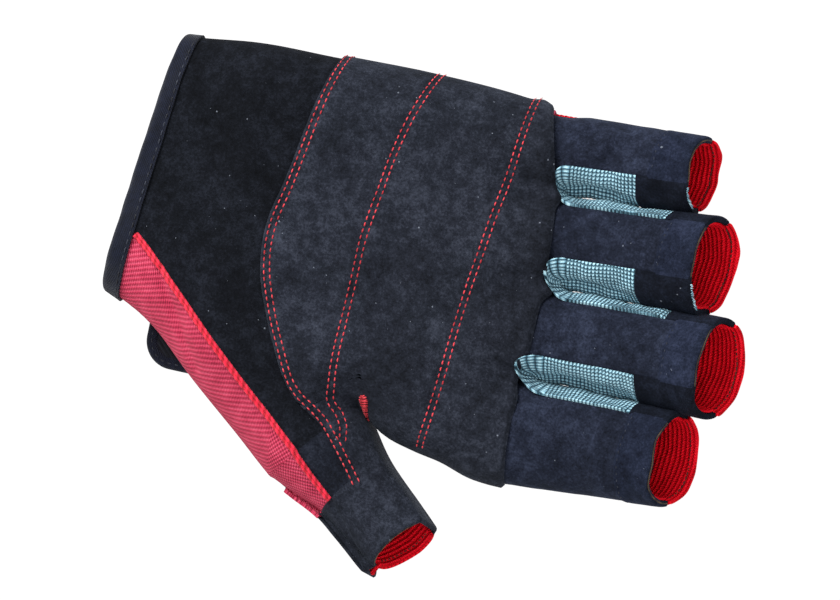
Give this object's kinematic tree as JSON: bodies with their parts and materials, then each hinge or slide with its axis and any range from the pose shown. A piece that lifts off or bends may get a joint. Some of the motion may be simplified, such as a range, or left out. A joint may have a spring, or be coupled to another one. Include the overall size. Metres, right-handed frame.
{
  "type": "sailing glove",
  "caption": "Short-finger sailing glove: suede palm with stitched second layer, knit gussets, mesh back, taped cuff and wrist strap.",
  "frame": {"origin": "centre of the glove's bounding box, on the surface that its back lies on", "axes": "+X towards the fingertips, +Y towards the little finger, -Y towards the thumb, +Z out of the palm"},
  "size_m": [0.1752, 0.14, 0.035],
  "materials": {
    "suede_black": "matt napped microsuede, near black",
    "suede_charcoal": "matt napped microsuede, charcoal, worn nap",
    "suede_hem": "matt microsuede folded hem, near black",
    "mesh_crimson": "crimson stretch pique mesh",
    "rib_red": "bright red ribbed stretch knit",
    "knit_blue_grey": "blue-grey stretch knit",
    "piping_red": "bright red overlock cord",
    "tape_navy": "navy woven binding tape",
    "strap_webbing": "black laminated strap, matt",
    "hook_tape": "black moulded hook tape",
    "loop_tape": "black brushed loop tape",
    "label_satin": "white satin, blank",
    "thread_red": "red bar-tack thread"
  },
  "bodies": {
    "hand": {"back_panel": "mesh_crimson", "care_label": "label_satin", "cuff_binding": "tape_navy", "gusset_crotch_little_ring": "knit_blue_grey", "gusset_crotch_middle_index": "knit_blue_grey", "gusset_crotch_ring_middle": "knit_blue_grey", "loop_patch": "loop_tape", "palm_panel": "suede_black", "palm_reinforcement": "suede_charcoal", "side_mesh_panel": "mesh_crimson", "side_piping": "piping_red", "strap_root": "strap_webbing", "thumb_crotch_tack": "thread_red"},
    "strap": {"closure_strap": "strap_webbing", "strap_binding": "tape_navy", "hook_patch": "hook_tape"},
    "little": {"little_back": "rib_red", "little_front": "suede_black", "little_gusset_inner": "knit_blue_grey", "little_hem": "suede_hem", "little_tab_inner": "suede_hem"},
    "ring": {"ring_back": "rib_red", "ring_front": "suede_black", "ring_gusset_inner": "knit_blue_grey", "ring_gusset_outer": "knit_blue_grey", "ring_hem": "suede_hem", "ring_tab_inner": "suede_hem", "ring_tab_outer": "suede_hem"},
    "middle": {"middle_back": "rib_red", "middle_front": "suede_black", "middle_gusset_inner": "knit_blue_grey", "middle_gusset_outer": "knit_blue_grey", "middle_hem": "suede_hem", "middle_tab_inner": "suede_hem", "middle_tab_outer": "suede_hem"},
    "index": {"index_back": "rib_red", "index_front": "suede_black", "index_gusset_outer": "knit_blue_grey", "index_hem": "suede_hem", "index_tab_outer": "suede_hem"},
    "thumb": {"thumb_back": "mesh_crimson", "thumb_front": "suede_black", "thumb_hem": "suede_hem", "thumb_piping": "piping_red", "thumb_reinforcement": "suede_charcoal"}
  },
  "joints": [
    {"name": "little_curl", "type": "hinge", "parent": "hand", "child": "little", "pos_m": [0.02697, 0.05635, 0.022], "axis": [0, -1, 0], "range_deg": [-8, 75]},
    {"name": "ring_curl", "type": "hinge", "parent": "hand", "child": "ring", "pos_m": [0.02872, 0.03335, 0.0227], "axis": [0, -1, 0], "range_deg": [-8, 75]},
    {"name": "middle_curl", "type": "hinge", "parent": "hand", "child": "middle", "pos_m": [0.03058, 0.00735, 0.0229], "axis": [0, -1, 0], "range_deg": [-8, 75]},
    {"name": "index_curl", "type": "hinge", "parent": "hand", "child": "index", "pos_m": [0.03253, -0.02025, 0.0228], "axis": [0, -1, 0], "range_deg": [-8, 75]},
    {"name": "thumb_curl", "type": "hinge", "parent": "hand", "child": "thumb", "pos_m": [-0.02045, -0.03585, 0.02742], "axis": [-0.6428, -0.766, 0], "range_deg": [-8, 40]},
    {"name": "strap_peel", "type": "hinge", "parent": "hand", "child": "strap", "pos_m": [-0.06405, 0.04345, 0], "axis": [1, 0, 0], "range_deg": [0, 120]}
  ]
}
